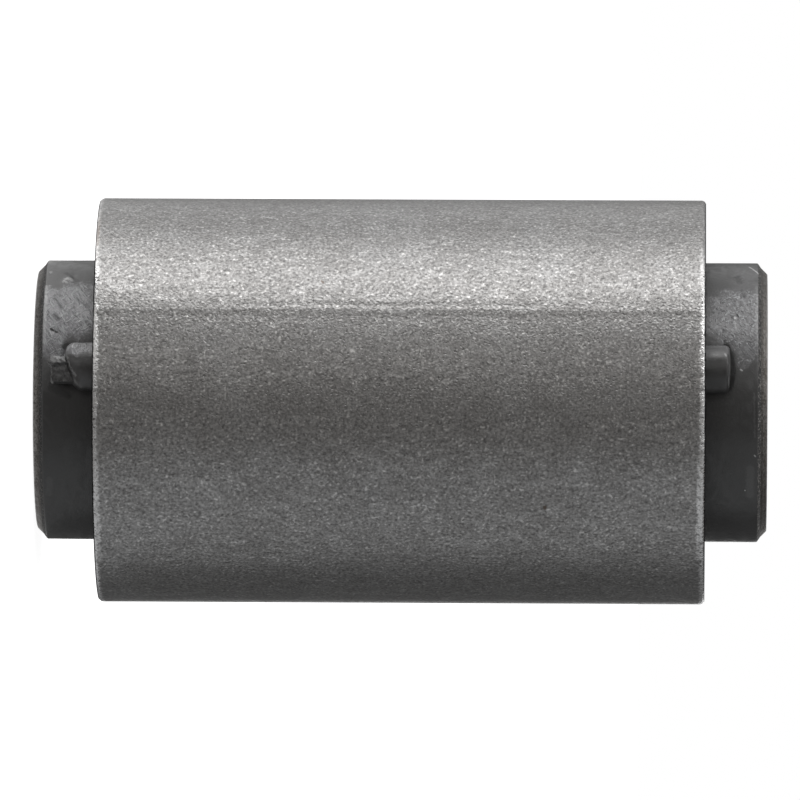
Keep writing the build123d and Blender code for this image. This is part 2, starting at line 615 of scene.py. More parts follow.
@dataclass(frozen=True)
class TurnedSteel(Finish):
    """Darker machined steel with the fine rings of a lathe tool and a thin film of rust and oil, with painted
    shade where it meets the rubber.
    """

    name: str = "machined_steel"
    tone: float = 0.16
    warmth: float = 0.05
    metallic: float = 0.95
    roughness: float = 0.42
    filmed_roughness: float = 0.54
    corner_tone: float = 0.42
    ring_pitch: float = 0.22
    ring_height: float = 0.004
    grain_height: float = 0.012
    low_end: float = 0.0
    high_end: float = 102.8
    shade_start: float = 0.48
    shade_end: float = 0.84

    def dress(self, sheet: MaterialSheet) -> None:
        """Feeds the shader with lathe rings, film, bright corners and painted shade next to the rubber.

        Args:
            sheet: the material's sheet.
        """
        parts, ends = sheet.parts, {"low": self.low_end, "high": self.high_end}
        flat = sheet.add("CombineXYZ", {"X": parts["X"], "Y": parts["Y"]})
        wander = sheet.lump_field(sheet.place, 0.35) * 0.25
        travel = sheet.vector("LENGTH", flat)["Value"] - parts["Z"] + wander
        rings = sheet.math("SINE", travel * (2 * pi / self.ring_pitch))
        coarse = sheet.lump_field(sheet.add("CombineXYZ", {"X": travel}), 1.9, 3.0, 0.7)
        grain = sheet.effect(Shared.GRAIN, density=4.0, pitting=0.66)
        wear = sheet.effect(Shared.EDGE_WEAR, **ends, width=0.22, ragged=0.05)
        film = sheet.effect(Shared.SMEAR, density=0.3, start=0.42, end=0.62)
        blotches = sheet.effect(Shared.SMEAR, density=1.5, start=0.44, end=0.58)
        nearest = sheet.end_gap(parts["Z"], **ends) + wander * 0.4
        speckle = grain["Tone"].ramp(0.44, 0.58)
        # darker and warmer away from the ends, next to the rubber's edge: rust stain and painted shade in the
        # crevice
        shade_and_stain = nearest.ramp(self.shade_start, self.shade_end) * speckle.fade(0.96, 0.58)
        patched = blotches * (nearest.ramp(1.0, 2.5, 1.0, 0.3) * speckle.fade(0.9, 0.45))

        filmed = sheet.blend(film, self.tinted(), self.tinted(0.72, 2.2))
        lined = sheet.blend(coarse.ramp(0.42, 0.62, 0.0, 0.5), filmed, self.tinted(1.5, 0.5))
        shaded = sheet.blend(shade_and_stain, lined, self.tinted(0.42, 1.6))
        rusted = sheet.blend(patched, shaded, self.tinted(0.30, 1.6))
        pitted = sheet.blend(grain["Pits"] * 0.5, rusted, self.tinted(0.4))
        ringed = sheet.bump(rings, self.ring_height)
        sheet.shade({
            "Base Color": sheet.blend(wear * 0.35, pitted, grey(self.corner_tone)),
            "Metallic": self.metallic,
            "Roughness": film.fade(self.roughness, self.filmed_roughness),
            "Normal": sheet.bump(grain["Height"], self.grain_height, ringed),
        })


@dataclass(frozen=True)
class Strokes:
    """One layer of rubbed strokes: its turn in degrees, its density at each end, and its shape."""

    turn: float
    low_density: float
    high_density: float
    slimness: float
    start: float
    softness: float = 0.13
    high_slimness: float = 0.6


@dataclass(frozen=True)
class MouldedRubber(Finish):
    """Black rubber with a satin skin, rubbed and hazed by handling, with painted shade and painted
    highlights.
    """

    name: str = "moulded_rubber"
    tone: float = 0.009
    warmth: float = 0.0
    roughness: float = 0.36
    refraction: float = 1.46
    gloss: float = 0.9
    dust_and_light_tone: float = 0.037
    film: Colour = (0.174, 0.171, 0.180, 1.0)
    thick_film: Colour = (0.240, 0.236, 0.247, 1.0)
    rubbed: Colour = grey(0.28, -0.02)
    crumbs: Colour = grey(0.11, 0.06)
    bright_tone: float = 0.45
    dark_tone: float = 0.006
    middle: float = 51.4
    length: float = 102.8
    # dust: lightest near the ends and gone towards the sleeve mouth, where the coat is left dark as painted
    # shade; fuller on the -X side, the side of the key light, as a painted lighter side
    lit_dust_inset: float = 1.5
    shaded_inset: float = 8.2
    trim_inset: float = 1.34
    trim_blur: float = 0.04
    lighter_side: float = -4.0
    faded_side: float = 10.0
    faded_share: float = 0.28
    zone_wander: float = 4.0
    grain_height: float = 0.018
    wave_height: float = 0.05
    stroke_height: float = 2.4
    rubs: tuple[Strokes, ...] = (Strokes(62.0, 2.0, 2.24, 0.22, 0.50), Strokes(-42.0, 2.4, 2.72, 0.24, 0.51))
    gouging: Strokes = Strokes(52.0, 1.9, 2.08, 0.32, 0.54)
    bright_marks: tuple[Mark, ...] = ()
    dark_marks: tuple[Mark, ...] = ()
    scuffed_zones: tuple[Mark, ...] = ()

    def stroked(self, sheet: MaterialSheet, upper: Signal, strokes: Strokes) -> Signal:
        """Lays one layer of strokes.

        Args:
            sheet: the material's sheet.
            upper: 1 in the bush's upper half and 0 in its lower one.
            strokes: the layer.

        Returns:
            A mask of the strokes.
        """
        return sheet.effect(
            Shared.STROKES,
            turn=radians(strokes.turn),
            start=strokes.start,
            end=strokes.start + strokes.softness,
            slimness=upper.fade(strokes.slimness, strokes.high_slimness),
            density=upper.fade(strokes.low_density, strokes.high_density),
        )

    def dress(self, sheet: MaterialSheet) -> None:
        """Feeds the shader with haze, scuffs, specks, rubbed edges, dust with painted shade towards the
        sleeve, and marks with painted highlights and shade.

        Args:
            sheet: the material's sheet.
        """
        height, place = sheet.parts["Z"], sheet.place
        upper = height.ramp(self.middle - 1.0, self.middle + 1.0)
        inset = sheet.math("MINIMUM", height, self.length - height)
        trimmed = inset.ramp(self.trim_inset + self.trim_blur, self.trim_inset - self.trim_blur)
        kept = 1.0 - trimmed
        drawn_out = (1.0, 1.0, 1.7)
        haze = sheet.effect(Shared.SMEAR, stretch=drawn_out, density=0.30, swirl=1.2, start=0.36, end=0.66)
        clouds = sheet.effect(Shared.SMEAR, density=0.75, start=0.40, end=0.60)
        patches = sheet.effect(Shared.SMEAR, density=0.42, start=0.43, end=0.62)
        grain = sheet.effect(Shared.GRAIN, density=3.6, coarse=0.5, pitting=0.68)
        bright = sheet.marked(self.bright_marks)
        dark = sheet.marked(self.dark_marks)

        shift = sheet.vector("SUBTRACT", sheet.lump_field(place, 0.5)["Color"], (0.5,) * 3)
        wandered = sheet.vector("MULTIPLY_ADD", shift, (self.zone_wander,) * 3, place)
        zone = sheet.marked(self.scuffed_zones, wandered) * kept
        worked = zone.ramp(0.04, upper.fade(0.85, 0.40)) * upper.fade(1.0, patches.fade(0.45, 1.0))
        crossed = sheet.math("MAXIMUM", *(self.stroked(sheet, upper, layer) for layer in self.rubs))
        rubs = crossed * worked
        gouges = self.stroked(sheet, upper, self.gouging) * (worked * upper.fade(0.45, 1.0))

        # painted light and shade in the dust: fuller towards -X, where the key light stands, and fading
        # towards the sleeve mouth as painted shade
        lighter_side_share = sheet.parts["X"].ramp(self.lighter_side, self.faded_side, 1.0, self.faded_share)
        dust_and_light = inset.ramp(self.shaded_inset, self.lit_dust_inset) * lighter_side_share * kept
        dust_and_light_toned = sheet.blend(dust_and_light * haze.fade(0.35, 1.0), self.tinted(), grey(self.dust_and_light_tone))
        filmed = sheet.blend(zone, dust_and_light_toned, sheet.blend(clouds, self.film, self.thick_film))
        gouged = sheet.blend(gouges, sheet.blend(rubs, filmed, self.rubbed), self.tinted())
        crumbled = sheet.blend(trimmed * grain["Tone"].ramp(0.53, 0.60), gouged, self.crumbs)
        # bright marks: scratches and specks, and painted highlights on the gate, the upper nub and the coat's
        # edges
        marked = sheet.blend(bright, crumbled, grey(self.bright_tone))

        dulled = haze.fade(self.roughness - 0.05, self.roughness + 0.08) + dark * 0.4
        waved = sheet.bump(sheet.lump_field(place, 0.55, 3.0, 0.6), self.wave_height)
        ridged = grain["Height"] + (rubs - gouges) * self.stroke_height
        sheet.shade({
            # dark marks: dark strokes, and painted shade at the nubs, in a pit and under the gate
            "Base Color": sheet.blend(dark, marked, grey(self.dark_tone)),
            "Metallic": 0.0,
            "IOR": self.refraction,
            "Specular IOR Level": self.gloss,
            "Roughness": dulled + (gouges * 0.22 + trimmed * 0.40),
            "Normal": sheet.bump(ridged, self.grain_height, waved),
        })


# ---- Shapes

ABOUT_Z = {"cent": (0, 0, 0), "axis": (0, 0, 1), "use_duplicate": False}


class Section:
    """The section of a round piece, drawn in the plane of +X and +Z and spun about Z."""

    def __init__(self) -> None:
        """Starts an empty section."""
        self.bm = bmesh.new()
        self.cuts: list[tuple[Point, Point, int]] = []

    def corner(self, radius: float, height: float) -> Corner:
        """Returns a new corner of the section."""
        return self.bm.verts.new((radius, 0.0, height))

    def run(self, start: Corner, end: Corner, cuts: int = 0) -> None:
        """Joins two corners by a straight run.

        Args:
            start: the first corner.
            end: the second corner.
            cuts: how many rings of faces the run gets beyond the first, once it is spun.
        """
        self.bm.edges.new((start, end))
        if cuts:
            self.cuts.append(((start.co.x, start.co.z), (end.co.x, end.co.z), cuts))

    def join(self, ends: Sequence[Sequence[Corner]], *cuts: int) -> None:
        """Joins the corners of the lower end to those of the upper end, each run with its own cuts."""
        for low, high, number in zip(*ends, cuts):
            self.run(low, high, number)

    def arc(self, start: Corner, centre: Point, turn: float, steps: int) -> Corner:
        """Draws an arc from a corner.

        Args:
            start: the corner where the arc starts.
            centre: the radius and height of the arc's centre.
            turn: how far the arc turns, in degrees about the +Y direction.
            steps: how many edges it has.

        Returns:
            The corner where the arc ends.
        """
        about = {"cent": (centre[0], 0.0, centre[1]), "axis": (0, 1, 0), "use_duplicate": False}
        spun = bmesh.ops.spin(self.bm, geom=[start], angle=radians(turn), steps=steps, **about)
        return next(item for item in spun["geom_last"] if isinstance(item, Corner))

    def spin(self, start: float, *sweeps: tuple[float, int]) -> Shape:
        """Spins the section all the way round, in one or more sweeps.

        Args:
            start: the bearing where the first sweep starts.
            *sweeps: the angle in degrees and the number of steps of each sweep.

        Returns:
            The closed shape.
        """
        turn_to(self.bm, start)
        swept = self.bm.verts[:] + self.bm.edges[:]
        for angle, steps in sweeps:
            turn = {"angle": radians(angle), "steps": steps, "use_merge": angle == 360}
            swept = bmesh.ops.spin(self.bm, geom=swept, **turn, **ABOUT_Z)["geom_last"]
        bmesh.ops.remove_doubles(self.bm, verts=self.bm.verts[:], dist=0.001)
        for low, high, cuts in self.cuts:
            starts, ends = ring(self.bm, low), ring(self.bm, high)
            along = [edge for edge in self.bm.edges if starts & {*edge.verts} and ends & {*edge.verts}]
            bmesh.ops.subdivide_edges(self.bm, edges=along, cuts=cuts, use_grid_fill=True)
        bmesh.ops.recalc_face_normals(self.bm, faces=self.bm.faces[:])
        return self.bm


def turn_to(bm: Shape, bearing: float) -> None:
    """Turns a shape from +X to a bearing about Z."""
    bmesh.ops.rotate(bm, verts=bm.verts[:], cent=(0, 0, 0), matrix=Matrix.Rotation(radians(bearing), 3, "Z"))


def ring(bm: Shape, corner: Point) -> set[Corner]:
    """Finds the vertices that a corner of the section has swept.

    Args:
        bm: the spun shape.
        corner: the corner's radius and height.

    Returns:
        The vertices on that circle.
    """
    radius, height = corner
    level = (vert for vert in bm.verts if abs(vert.co.z - height) < 0.005)
    return {vert for vert in level if abs(hypot(vert.co.x, vert.co.y) - radius) < 0.01}


def round_edges(bm: Shape, corners: Sequence[Point], size: float, segments: int) -> None:
    """Rounds the circular edges of a spun shape.

    Args:
        bm: the shape.
        corners: the radius and height of each circle.
        size: how far each rounding reaches along its faces.
        segments: how many faces each rounding has.
    """
    circles = [ring(bm, corner) for corner in corners]
    edges = [edge for edge in bm.edges if any(circle.issuperset(edge.verts) for circle in circles)]
    kind = {"offset_type": "OFFSET", "affect": "EDGES", "clamp_overlap": False}
    bmesh.ops.bevel(bm, geom=edges, offset=size, segments=segments, profile=0.5, material=-1, **kind)


def press_in(bm: Shape, depth: Callable[[Spot], float]) -> None:
    """Moves each vertex towards the axis by a depth that depends on its place.

    Args:
        bm: the shape.
        depth: gives the depth in millimetres at a place.
    """
    for vert in bm.verts:
        bearing = degrees(atan2(vert.co.y, vert.co.x)) % 360
        spot = Spot(hypot(vert.co.x, vert.co.y), bearing, vert.co.z)
        share = 1 - depth(spot) / spot.radius
        vert.co.x *= share
        vert.co.y *= share


def link_up(item: bpy.types.Object) -> bpy.types.Object:
    """Returns an object, linked into the scene."""
    bpy.context.scene.collection.objects.link(item)
    return item


def new_object(name: str, bm: Shape) -> bpy.types.Object:
    """Turns a shape into an object of the scene.

    Args:
        name: the name of the object.
        bm: the shape in metres, which is used up.

    Returns:
        The object.
    """
    mesh = bpy.data.meshes.new(name)
    bm.to_mesh(mesh)
    bm.free()
    return link_up(bpy.data.objects.new(name, mesh))


def smooth(mesh: bpy.types.Mesh) -> None:
    """Shades a mesh smooth except at its creases."""
    mesh.shade_smooth()
    mesh.set_sharp_from_angle(angle=SHARP_CREASE)


def smooth_object(name: str, bm: Shape) -> bpy.types.Object:
    """Turns a shape in millimetres into a smooth object in metres.

    Args:
        name: the name of the object.
        bm: the shape, which is used up.

    Returns:
        The object.
    """
    bmesh.ops.scale(bm, vec=(MM, MM, MM), verts=bm.verts[:])
    bmesh.ops.recalc_face_normals(bm, faces=bm.faces[:])
    piece = new_object(name, bm)
    smooth(piece.data)
    return piece


@dataclass
class Piece:
    """One piece of the bush, which stands for a node of the CAD part."""

    name: str
    node: str
    slot: str
    finish: Finish

    def shape(self) -> Shape:
        """Returns the shape in millimetres; each piece has its own."""
        raise NotImplementedError

    def build(self, effects: Effects) -> bpy.types.Object:
        """Builds the piece, dresses it and puts it in the place of its node.

        Args:
            effects: the shared effects.

        Returns:
            The finished object.
        """
        piece = self.merged(smooth_object(self.name, self.shape()))
        piece.data.materials.clear()
        piece.data.materials.append(self.finish.material(effects))
        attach(piece, ROOT)
        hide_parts(self.node)
        log.info("%s: %d faces, stands for %s", self.name, len(piece.data.polygons), self.node)
        return piece

    def merged(self, piece: bpy.types.Object) -> bpy.types.Object:
        """Returns the piece with anything moulded onto it; most pieces have nothing."""
        return piece


@dataclass(frozen=True)
class Ripple:
    """A gentle random wave in a surface; the squash draws its lumps out along the axis."""

    depth: float
    squash: float
    size: float
    layer: float

    def depth_at(self, spot: Spot) -> float:
        """Returns the depth in millimetres at a place."""
        return self.depth * (1 + lumps(*spot.flat(), spot.height * self.squash, self.size, self.layer))


@dataclass(frozen=True)
class Dent:
    """A small hollow in a round surface, or a lump where its depth is negative."""

    bearing: float
    height: float
    around: float
    along: float
    depth: float

    def depth_at(self, spot: Spot) -> float:
        """Returns the depth in millimetres at a place."""
        across = spot.across(self.bearing) / self.around
        return self.depth * bell(hypot(across, (spot.height - self.height) / self.along))


@dataclass
class OuterSleeve(Piece):
    """The welded tube that is pressed into the eye of its host."""

    radius: float = SLEEVE
    wall: float = 2.0
    bottom: float = 8.7
    top: float = 94.1
    rim_rounding: float = 0.6
    mouth_rounding: float = 0.1
    mouth_chamfer: float = 0.5
    seam_bearing: float = 243.2
    seam_sector: float = 14.0
    seam_steps: int = 110
    round_steps: int = 330
    rows: int = 116
    ripples: tuple[Ripple, ...] = (Ripple(0.006, 0.5, 9.0, 0.0), Ripple(0.003, 0.7, 3.1, 7.0))
    nick_depth: float = 0.10
    nick_level: float = 0.42
    crest_rise: float = 0.042
    crest_middle: float = 49.6
    crest_reach: float = 17.0
    step_drop: float = 0.068

    def shape(self) -> Shape:
        """Spins the wall, rounds its rims and presses the weld line into it.

        Returns:
            The sleeve in millimetres.
        """
        mouth = self.radius - self.wall
        face_edge = mouth + self.mouth_chamfer
        section = Section()
        ends = []
        for end, inward in ((self.bottom, 1), (self.top, -1)):
            inner = section.corner(mouth, end + inward * self.mouth_chamfer)
            face = section.corner(face_edge, end)
            rim = section.corner(self.radius, end)
            section.run(inner, face)
            section.run(face, rim, cuts=4)
            ends.append((inner, rim))
        section.join(ends, 0, self.rows)
        sweeps = ((self.seam_sector, self.seam_steps), (360 - self.seam_sector, self.round_steps))
        bm = section.spin(self.seam_bearing - self.seam_sector / 2, *sweeps)
        roundings = ((self.radius, self.rim_rounding, 6), (face_edge, self.mouth_rounding, 2))
        for radius, size, segments in roundings:
            round_edges(bm, ((radius, self.bottom), (radius, self.top)), size, segments)
        press_in(bm, self.depth)
        return bm

    def depth(self, spot: Spot) -> float:
        """Gives how far the wall lies below the true cylinder.

        Args:
            spot: the place.

        Returns:
            The depth in millimetres.
        """
        if spot.radius < self.radius - self.wall / 2:
            return 0.0
        wave = sum(ripple.depth_at(spot) for ripple in self.ripples)
        end_gap = min(spot.height - self.bottom, self.top - spot.height)
        nick = self.nick_depth * max(lumps(*spot.flat(), spot.height, 1.5, 3.0) - self.nick_level, 0.0)
        across = radians(spot.bearing - self.seam_bearing) * self.radius
        return wave + nick * (1 - smooth_step(end_gap, 0.3, 1.6)) + self.seam_depth(across, spot.height)

    def seam_depth(self, across: float, height: float) -> float:
        """Gives the shape of the trimmed weld: a lip on one side and a shallow step on the other.

        Args:
            across: distance from the crest around the sleeve, positive away from the lip.
            height: height of the place.

        Returns:
            The depth in millimetres.
        """

        def swing(reach: float, size: float, layer: float) -> float:
            """Returns a random value along the seam."""
            return reach * lumps(0.0, 0.0, height, size, layer)

        along = across + (swing(0.10, 14.0, 1.0) + swing(0.05, 2.2, 2.0))
        strength = 0.75 + swing(0.35, 18.0, 5.0) + swing(0.2, 1.4, 6.0)
        strength *= 0.2 + 0.8 * bell(height, self.crest_middle, self.crest_reach)
        lip = self.crest_rise * strength * smooth_step(along, -1.3, -0.55)
        lip *= 1 - smooth_step(along, -0.6, -0.05)
        step = self.step_drop * smooth_step(along, 0.02, 1.25) * (1 - smooth_step(along, 1.4, 6.0))
        return lip + step


@dataclass
class InnerSleeve(Piece):
    """The thick tube that the bolt clamps; it shows at its chamfers, end faces and bore."""

    radius: float = 19.0
    bore: float = 12.2
    length: float = 102.8
    outer_chamfer: float = 0.9
    bore_chamfer: float = 0.8
    corner_rounding: float = 0.07
    steps: int = 320
    bore_rows: int = 23

    def shape(self) -> Shape:
        """Spins the wall and breaks its sharp corners.

        Returns:
            The sleeve in millimetres.
        """
        faces = (self.radius - self.outer_chamfer, self.bore + self.bore_chamfer)
        section = Section()
        ends = []
        for end, inward in ((0.0, 1), (self.length, -1)):
            outer = section.corner(self.radius, end + inward * self.outer_chamfer)
            face_outer, face_inner = (section.corner(radius, end) for radius in faces)
            inner = section.corner(self.bore, end + inward * self.bore_chamfer)
            section.run(outer, face_outer, cuts=5)
            section.run(face_outer, face_inner, cuts=11)
            section.run(face_inner, inner, cuts=1)
            ends.append((outer, inner))
        section.join(ends, 0, self.bore_rows)
        bm = section.spin(0.0, (360, self.steps))
        corners = [(radius, end) for radius in faces for end in (0.0, self.length)]
        round_edges(bm, corners, self.corner_rounding, 2)
        return bm


@dataclass
class Nub:
    """A moulding nub that stands free on the hollow end face of the rubber."""

    bearing: float
    centre_radius: float
    depth: float
    width: float
    root: float
    tip: float
    rounding: float = 0.95
    slant: float = 0.05
    slant_start: float = -1.0
    dome: float = 0.25
    crevice: float = 0.26
    crevice_bearing: float = 255.6
    crevice_gap: float = 0.1
    crevice_end: float = 9.0

    @property
    def outward(self) -> int:
        """Returns 1 for a nub on the upper end and -1 for one on the lower end."""
        return 1 if self.tip > self.root else -1

    def shape(self) -> Shape:
        """Spins a finger with a rounded tip.

        Returns:
            The nub in millimetres, in the place where it stands.
        """
        length = abs(self.tip - self.root)
        bm = finger(length, self.rounding, 4 * self.rounding / (self.width + self.depth), rows=22)
        for vert in bm.verts:
            rise = smooth_step(vert.co.z, length * 0.5, length)
            vert.co.z += self.dome * max(0.0, vert.co.z / length - 0.6) * (1 - vert.co.x**2 - vert.co.y**2)
            vert.co.z -= self.slant * max(0.0, vert.co.y - self.slant_start) * rise
            swell = 1 + 0.02 * lumps(vert.co.x * 3, vert.co.y * 3, vert.co.z, 2.0, self.tip)
            vert.co.x *= self.depth / 2 * swell
            vert.co.y *= self.width / 2 * swell
        self.place(bm)
        return bm

    def place(self, bm: Shape) -> None:
        """Turns a shape drawn along +Z, with +X away from the axis, into the nub's place.

        Args:
            bm: the shape.
        """
        for vert in bm.verts:
            vert.co.z = self.root + self.outward * vert.co.z
            vert.co.x += self.centre_radius
        turn_to(bm, self.bearing)
        bmesh.ops.recalc_face_normals(bm, faces=bm.faces[:])

    def depth_at(self, spot: Spot) -> float:
        """Gives the narrow hollow that the nub leaves in the coat round its tip.

        Args:
            spot: the place on the coat.

        Returns:
            The depth in millimetres.
        """
        across = spot.across(self.crevice_bearing)
        past_tip = (spot.height - self.tip) * self.outward + across * across / 15
        inside = 1 - smooth_step(abs(across), self.width / 2 - 0.6, self.width / 2)
        inside *= 1 - smooth_step(across, self.crevice_end - 0.5, self.crevice_end + 0.5)
        return self.crevice * inside * bell(past_tip, self.crevice_gap, 0.5)


@dataclass
class TornGate(Nub):
    """The stub of torn rubber that is left on a nub where the mould fed it."""

    raggedness: float = 0.22
    facet: float = 0.85
    facet_edge: float = -0.40
    overhang: float = 0.30
    crevice: float = 0.0

    def shape(self) -> Shape:
        """Spins a short stub, squares it, slopes its upper side and tears it below that side and at its end.

        Returns:
            The stub in millimetres, in the place where it stands.
        """
        length = abs(self.tip - self.root)
        bm = finger(length, 0.3, 0.22, rows=40, tip_rings=5, cap_rings=14)
        for vert in bm.verts:
            x, y, z = vert.co
            square = 1 + 0.7 * (hypot(x, y) / max(abs(x), abs(y), 1e-6) - 1)
            x, y = x * square, y * square
            front = smooth_step(x, -0.3, 0.5)
            edge = self.facet_edge + 0.26 * lumps(0.0, 0.0, z, 0.8, 3.0)
            x -= front * self.facet * max(0.0, self.facet_edge - y)
            x -= front * self.overhang * smooth_step(y, edge, edge + 0.16)
            x += front * 0.10 * lumps(x * 2, y * 4, z * 2, 0.9, 2.0)
            torn = smooth_step(z, length * 0.35, length * 0.8)
            tear = lumps(x * 3, y * 3, z, 1.1, 4.0) + 0.6 * lumps(x * 3, y * 3, z, 0.42, 8.0)
            fallen = 0.5 * smooth_step(y, edge, edge + 0.3)
            vert.co = (x * self.depth / 2, y * self.width / 2, z + torn * (self.raggedness * tear - fallen))
        self.place(bm)
        return bm


def finger(
    length: float, rounding: float, reach: float, rows: int, tip_rings: int = 6, cap_rings: int = 6
) -> Shape:
    """Makes a round finger of radius 1 along +Z with a rounded tip.

    Args:
        length: height of the tip.
        rounding: height of the rounding.
        reach: how far the rounding comes in from the side.
        rows: how many rings of faces the side has beyond the first.
        tip_rings: how many rings of faces the rounding has.
        cap_rings: how many rings of faces the flat end has.

    Returns:
        The closed shape.
    """
    section = Section()
    corners = [section.corner(0.0, 0.0), section.corner(1.0, 0.0), section.corner(1.0, length - rounding)]
    section.run(corners[0], corners[1])
    section.run(corners[1], corners[2], cuts=rows)
    turns = [radians(90 * number / tip_rings) for number in range(1, tip_rings + 1)]
    outline = [(1 - reach * (1 - cos(turn)), length - rounding + rounding * sin(turn)) for turn in turns]
    outline += [((1 - reach) * (1 - number / cap_rings), length) for number in range(1, cap_rings + 1)]
    for radius, height in outline:
        corners.append(section.corner(radius, height))
        section.run(corners[-2], corners[-1])
    return section.spin(0.0, (360, 96))


@dataclass
class RubberBody(Piece):
    """The moulding between the sleeves, with its coat on the inner sleeve, its nubs and its torn gate."""

    mouth_radius: float = 26.5
    skin_radius: float = COAT
    core_radius: float = 19.0
    length: float = 102.8
    skin_end: float = 0.9
    skin_slope: float = 0.45
    edge_rounding: float = 0.14
    end_bottom: float = 10.2
    end_top: float = 92.6
    flank_angle: float = 76.0
    steps: int = 480
    skin_rows: int = 34
    arc_steps: int = 14
    ripples: tuple[Ripple, ...] = (Ripple(0.02, 1.0, 4.5, 1.0), Ripple(0.008, 1.0, 1.3, 2.0))
    nubs: tuple[Nub, ...] = ()
    dents: tuple[Dent, ...] = ()

    def shape(self) -> Shape:
        """Spins the section of the moulding and works its moulded skin.

        Returns:
            The moulding without its nubs, in millimetres.
        """
        half_gap = (self.mouth_radius - self.skin_radius) / 2
        drop = half_gap / tan(radians(self.flank_angle))
        section = Section()
        ends, edges = [], []
        levels = ((self.end_bottom, -1, self.skin_end), (self.end_top, 1, self.length - self.skin_end))
        for end, outward, limit in levels:
            mouth = section.corner(self.mouth_radius, end)
            centre = (self.skin_radius + half_gap, end + outward * drop)
            hollow_end = section.arc(mouth, centre, outward * 2 * self.flank_angle, self.arc_steps)
            edges.append((self.skin_radius, limit - outward * self.skin_slope))
            edge = section.corner(*edges[-1])
            core = section.corner(self.core_radius, limit)
            section.run(hollow_end, edge, cuts=self.skin_rows)
            section.run(edge, core, cuts=2)
            ends.append((mouth, core))
        section.join(ends, 0, 0)
        bm = section.spin(0.0, (360, self.steps))
        round_edges(bm, edges, self.edge_rounding, 3)
        press_in(bm, self.depth)
        return bm

    def depth(self, spot: Spot) -> float:
        """Gives how far the moulded skin lies below its true cylinder.

        Args:
            spot: the place.

        Returns:
            The depth in millimetres.
        """
        if not self.core_radius + 0.3 < spot.radius < self.skin_radius + 0.05:
            return 0.0
        skin = Spot(self.skin_radius, spot.bearing, spot.height)
        wave = sum(ripple.depth_at(spot) for ripple in self.ripples)
        dented = sum(dent.depth_at(skin) for dent in self.dents)
        return wave + dented + sum(nub.depth_at(skin) for nub in self.nubs)

    def merged(self, piece: bpy.types.Object) -> bpy.types.Object:
        """Moulds the nubs onto the body.

        Args:
            piece: the body, as an object.

        Returns:
            The same object with the nubs joined to its mesh.
        """
        helpers = []
        for number, nub in enumerate(self.nubs):
            helpers.append(smooth_object(f"nub_{number}", nub.shape()))
            union = piece.modifiers.new(f"nub_{number}", "BOOLEAN")
            union.operation = "UNION"
            union.solver = "EXACT"
            union.object = helpers[-1]
        bpy.context.view_layer.update()
        evaluated = piece.evaluated_get(bpy.context.evaluated_depsgraph_get())
        joined = bpy.data.meshes.new_from_object(evaluated)
        piece.modifiers.clear()
        piece.data = joined
        for helper in helpers:
            bpy.data.objects.remove(helper)
        smooth(joined)
        return piece


# ---- Studio


class Ray(Enum):
    """The kinds of ray that an object can be hidden from."""

    CAMERA = "camera"
    DIFFUSE = "diffuse"
    GLOSSY = "glossy"
    TRANSMISSION = "transmission"
    SCATTER = "volume_scatter"
    SHADOW = "shadow"


def hide_from(item: bpy.types.Object, rays: Sequence[Ray]) -> None:
    """Hides an object from some kinds of ray."""
    for ray in rays:
        setattr(item, "visible_" + ray.value, False)


def stand(data: bpy.types.ID, axes: Sequence[Vector], place: Vector) -> bpy.types.Object:
    """Puts a lamp or a camera into the scene.

    Args:
        data: the lamp or the camera.
        axes: where its own X, Y and Z point.
        place: where it stands, in metres.

    Returns:
        Its object.
    """
    item = bpy.data.objects.new(data.name, data)
    item.matrix_world = Matrix(axes).transposed().to_4x4()
    item.matrix_world.translation = place
    return link_up(item)


@dataclass(frozen=True)
class Softbox:
    """A soft lamp beside the bush, which faces it; its elevation runs from the camera's side (-Y) to -X."""

    name: str
    elevation: float
    spread: float
    distance: float
    foot: float
    head: float
    radiance: float

    def build(self) -> bpy.types.Object:
        """Makes the lamp.

        Returns:
            The lamp, with its width across the bush and its height along Z.
        """
        lamp = bpy.data.lights.new(self.name, "AREA")
        lamp.shape = "RECTANGLE"
        lamp.size = 2 * self.distance * tan(radians(self.spread / 2))
        lamp.size_y = self.head - self.foot
        lamp.energy = pi * lamp.size * lamp.size_y * self.radiance
        turn = radians(self.elevation)
        away = Vector((-sin(turn), -cos(turn), 0.0))
        place = away * self.distance + UP * ((self.head + self.foot) / 2)
        box = stand(lamp, (UP.cross(away), UP, away), place)
        hide_from(box, (Ray.GLOSSY,))
        log.info("lamp %s: %.0f W", self.name, lamp.energy)
        return box


@dataclass(frozen=True)
class Panel:
    """A lit stretch of the tent with soft edges, placed by its elevation; a negative glow darkens it."""

    name: str
    elevation: float
    spread: float
    softness: float
    glow: float
    warmth: float = 0.0


